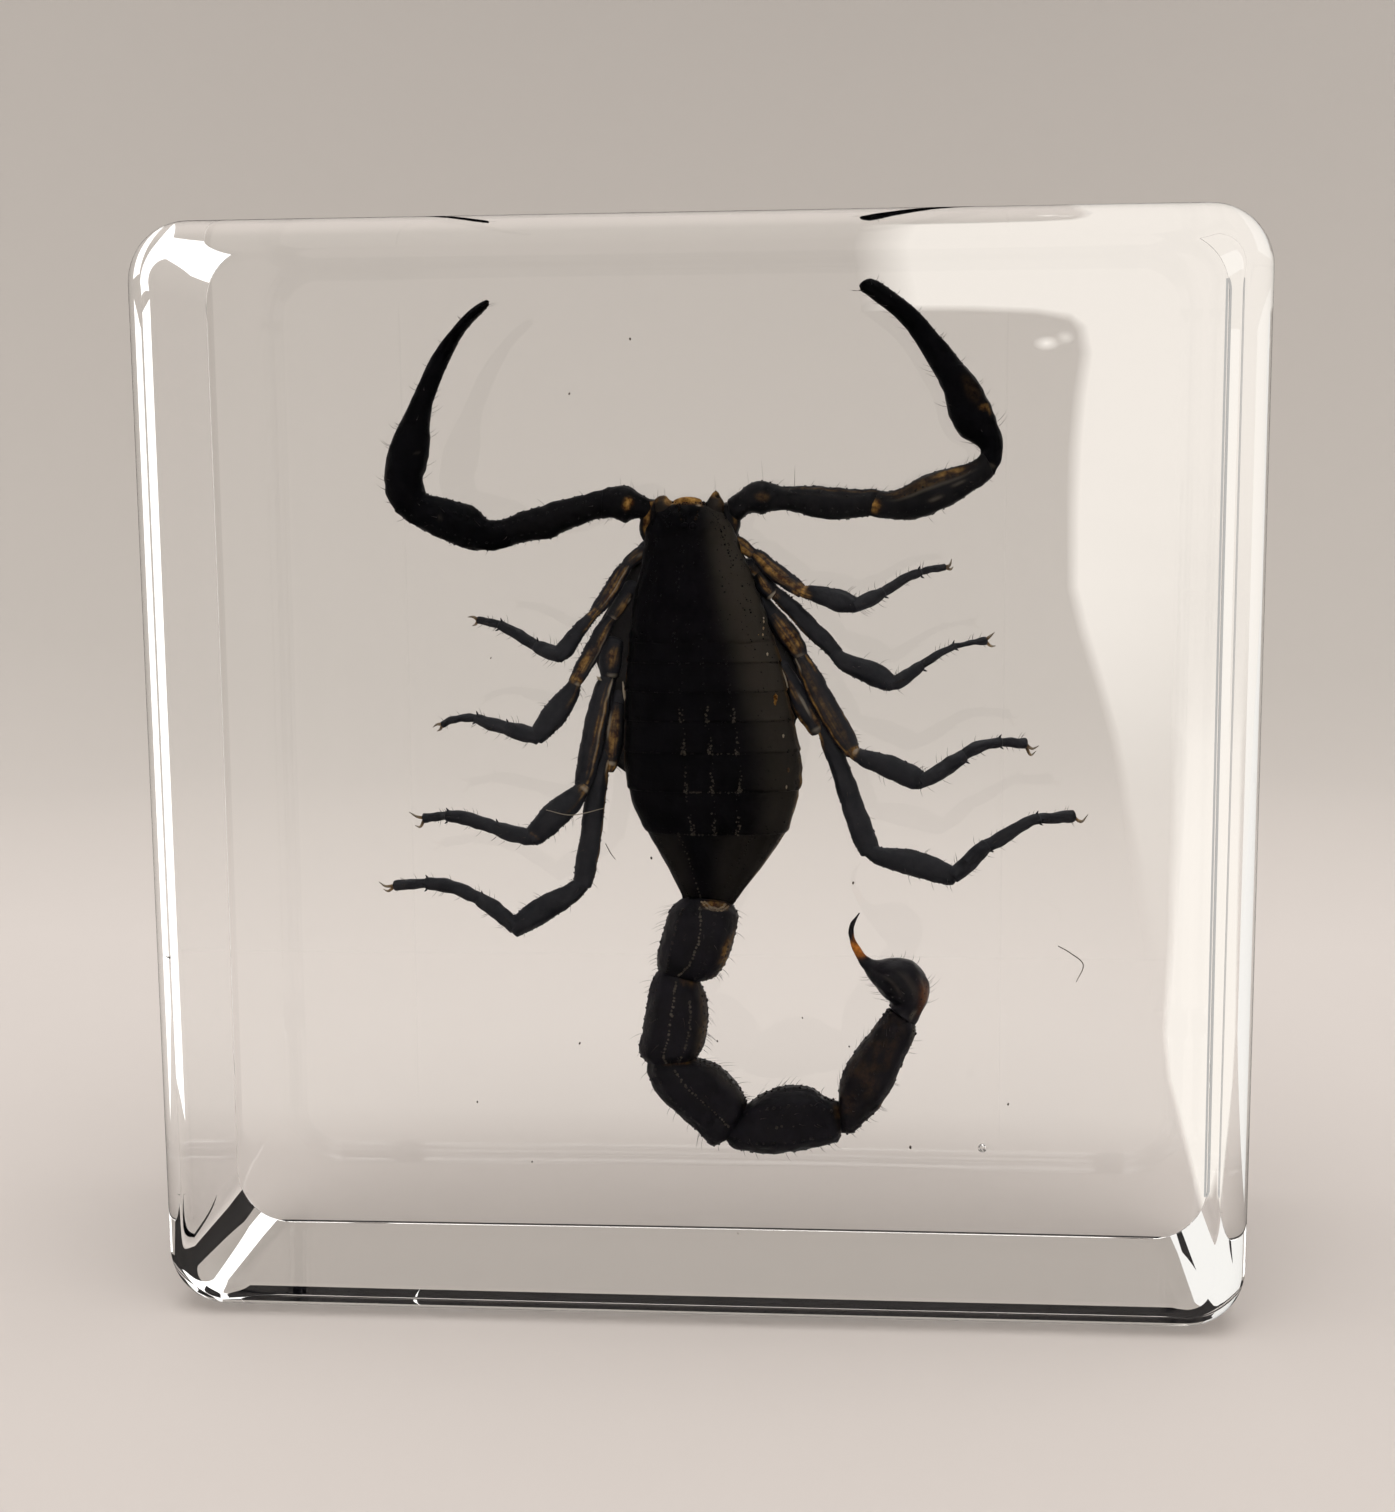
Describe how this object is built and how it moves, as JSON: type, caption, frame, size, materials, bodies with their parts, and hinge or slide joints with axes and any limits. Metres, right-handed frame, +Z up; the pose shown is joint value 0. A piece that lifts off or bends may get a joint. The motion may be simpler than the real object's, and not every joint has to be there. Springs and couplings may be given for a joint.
{
  "type": "scorpion in resin block",
  "caption": "Square clear resin block that stands on its lower side, with a black scorpion, head up and tail curled sideways, cast in the middle of its depth.",
  "frame": {"origin": "middle of the footprint, on the surface that the block stands on", "axes": "+X to the right seen from the front face, +Y from the front face to the back face, +Z up; the scorpion's back faces -Y"},
  "size_m": [0.045, 0.018, 0.045],
  "materials": {
    "clear_resin": "polished clear cast resin, faintly warm in its depth",
    "scorpion_cuticle": "near-black dried shell with amber joints and sting"
  },
  "bodies": {
    "root": {"resin_front": "clear_resin", "resin_back": "clear_resin", "scorpion": "scorpion_cuticle"}
  },
  "joints": []
}
